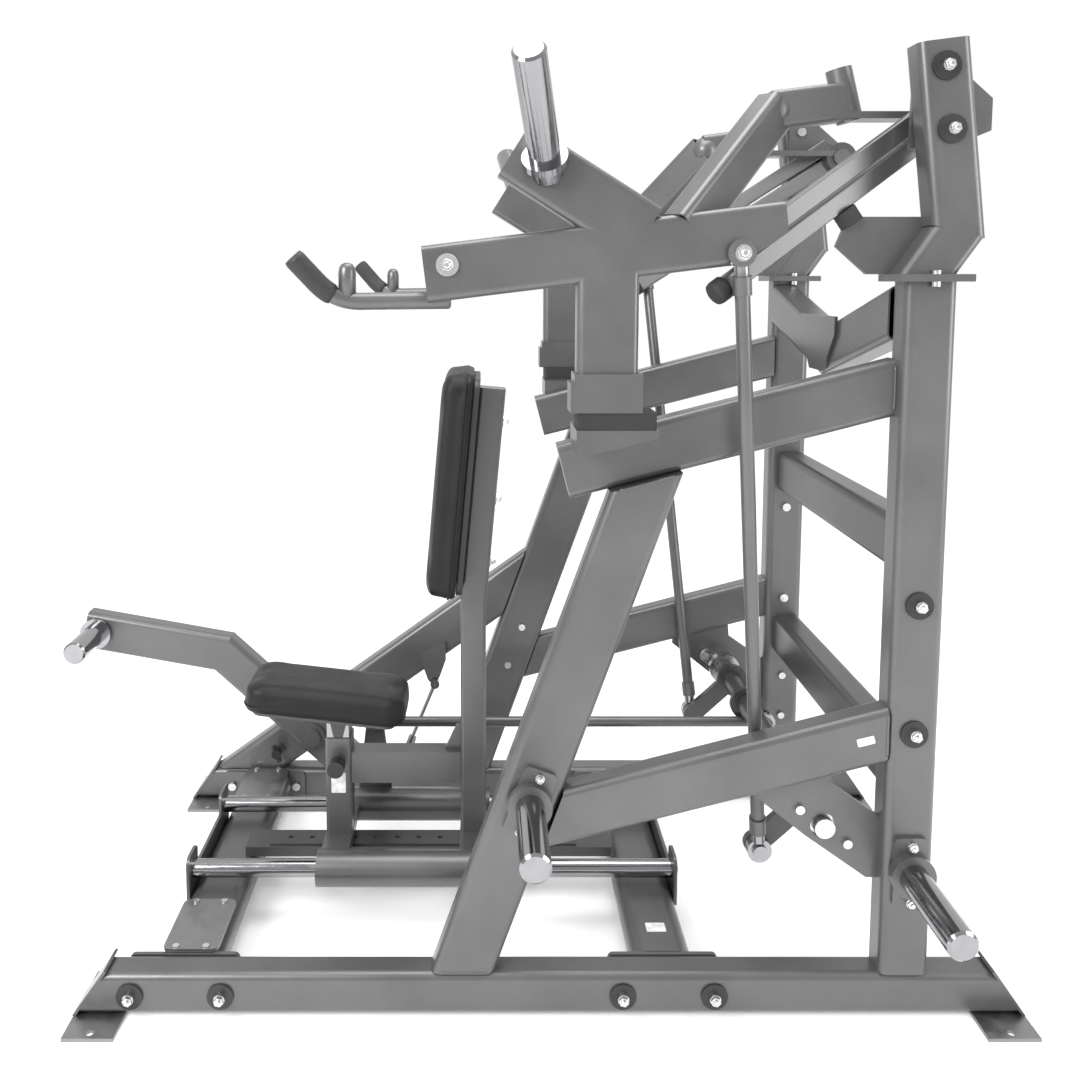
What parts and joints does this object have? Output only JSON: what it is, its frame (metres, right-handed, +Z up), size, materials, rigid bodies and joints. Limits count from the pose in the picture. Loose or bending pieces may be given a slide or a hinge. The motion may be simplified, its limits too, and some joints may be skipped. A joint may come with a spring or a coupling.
{
  "type": "gym_machine",
  "caption": "Plate-loaded seated press machine: two pivoting press arms linked by a crank to a rolling seat carriage, with chrome plate horns.",
  "frame": {"origin": "middle of the bounding box on the floor", "axes": "+X to the rear, +Z up, the user faces -X; metres"},
  "size_m": [1.8881, 1.2684, 1.6591],
  "materials": {
    "silver_paint": "satin",
    "chrome": "polished",
    "zinc_steel": "satin",
    "black_rubber": "matte",
    "grip_rubber": "matte",
    "black_vinyl": "satin",
    "black_plastic": "matte"
  },
  "bodies": {
    "frame": {"near_base_rail": "silver_paint", "far_base_rail": "silver_paint", "near_strut": "silver_paint", "far_strut": "silver_paint", "near_upright": "silver_paint", "far_upright": "silver_paint", "near_upper_rail": "silver_paint", "far_upper_rail": "silver_paint", "near_lower_rail": "silver_paint", "far_lower_rail": "silver_paint", "front_cross_tube": "silver_paint", "middle_cross_tube": "silver_paint", "rear_upper_cross_tube": "silver_paint", "rear_lower_cross_tube": "silver_paint", "v_cross_member": "silver_paint", "near_tower": "silver_paint", "far_tower": "silver_paint", "far_brace": "silver_paint", "foot_plates": "silver_paint", "end_plates": "silver_paint", "footrest_plates": "silver_paint", "rod_brackets": "silver_paint", "centre_rail": "silver_paint", "storage_horn_bases": "silver_paint", "rest_brackets": "silver_paint", "crank_plates": "silver_paint", "pivot_housings": "silver_paint", "stop_gussets": "silver_paint", "release_bracket": "silver_paint", "guide_rods": "chrome", "storage_horns": "chrome", "shaft_bearings": "zinc_steel", "frame_bolts": "zinc_steel", "rest_pads": "black_rubber", "stop_bumpers": "black_rubber", "bolt_covers": "black_plastic"},
    "near_arm": {"near_arm_tubes": "silver_paint", "near_lever": "silver_paint", "near_horn": "chrome", "near_handle": "silver_paint", "near_grips": "grip_rubber"},
    "far_arm": {"far_arm_tubes": "silver_paint", "far_lever": "silver_paint", "far_horn": "chrome", "far_handle": "silver_paint", "far_grips": "grip_rubber"},
    "near_rod": {"near_pushrod": "silver_paint"},
    "far_rod": {"far_pushrod": "silver_paint"},
    "crank": {"crank_shaft": "silver_paint"},
    "link": {"link_rod": "silver_paint"},
    "carriage": {"carriage_frame": "silver_paint", "carriage_sleeves": "silver_paint", "backrest_pad": "black_vinyl"},
    "seat": {"seat_stem": "chrome", "seat_pad": "black_vinyl"},
    "seat_knob": {"seat_pin": "black_plastic"},
    "weight_lever": {"front_lever": "silver_paint", "front_lever_horn": "chrome"},
    "lock_pin": {"lever_pin": "black_plastic"},
    "release": {"release_lever": "chrome"}
  },
  "joints": [
    {"name": "near_arm_lift", "type": "hinge", "parent": "frame", "child": "near_arm", "pos_m": [0.8, -0.27, 1.545], "axis": [0, 1, 0], "range_deg": [0, 20.63]},
    {"name": "far_arm_lift", "type": "hinge", "parent": "frame", "child": "far_arm", "pos_m": [0.8, 0.27, 1.545], "axis": [0, 1, 0], "range_deg": [0, 20.64]},
    {"name": "near_rod_swing", "type": "hinge", "parent": "near_arm", "child": "near_rod", "pos_m": [0.404, -0.466, 1.316], "axis": [0, 1, 0], "range_deg": [-23.25, 0]},
    {"name": "far_rod_swing", "type": "hinge", "parent": "far_arm", "child": "far_rod", "pos_m": [0.404, 0.466, 1.316], "axis": [0, 1, 0], "range_deg": [-23.25, 0]},
    {"name": "crank_turn", "type": "hinge", "parent": "frame", "child": "crank", "pos_m": [0.593, 0, 0.334], "axis": [0, 1, 0], "range_deg": [0, 81.03]},
    {"name": "link_swing", "type": "hinge", "parent": "crank", "child": "link", "pos_m": [0.634, 0.124, 0.3], "axis": [0, 1, 0], "range_deg": [-80.25, 0]},
    {"name": "carriage_slide", "type": "slide", "parent": "frame", "child": "carriage", "axis": [-1, 0, 0], "range_m": [0, 0.0683]},
    {"name": "seat_height", "type": "slide", "parent": "carriage", "child": "seat", "axis": [0, 0, 1], "range_m": [0, 0.1]},
    {"name": "seat_pin_pull", "type": "slide", "parent": "carriage", "child": "seat_knob", "axis": [0, -1, 0], "range_m": [0, 0.012], "stiffness_N_per_m": 300, "springref_m": -0.005},
    {"name": "weight_lever_lift", "type": "hinge", "parent": "frame", "child": "weight_lever", "pos_m": [-0.401, 0.316, 0.19], "axis": [0, 1, 0], "range_deg": [0, 22]},
    {"name": "lock_pin_pull", "type": "slide", "parent": "frame", "child": "lock_pin", "axis": [0, -1, 0], "range_m": [0, 0.018], "stiffness_N_per_m": 300, "springref_m": -0.005},
    {"name": "release_swing", "type": "hinge", "parent": "frame", "child": "release", "pos_m": [-0.11, 0.327, 0.306], "axis": [0, 1, 0], "range_deg": [0, 18]}
  ],
  "couplings": [
    {"joint": "far_arm_lift", "follows": "near_arm_lift", "ratio": 1},
    {"joint": "near_rod_swing", "follows": "near_arm_lift", "ratio": -1.126},
    {"joint": "far_rod_swing", "follows": "near_arm_lift", "ratio": -1.126},
    {"joint": "crank_turn", "follows": "near_arm_lift", "ratio": 3.9275},
    {"joint": "link_swing", "follows": "near_arm_lift", "ratio": -3.8898},
    {"joint": "carriage_slide", "follows": "near_arm_lift", "m_per_rad": 0.18915}
  ]
}
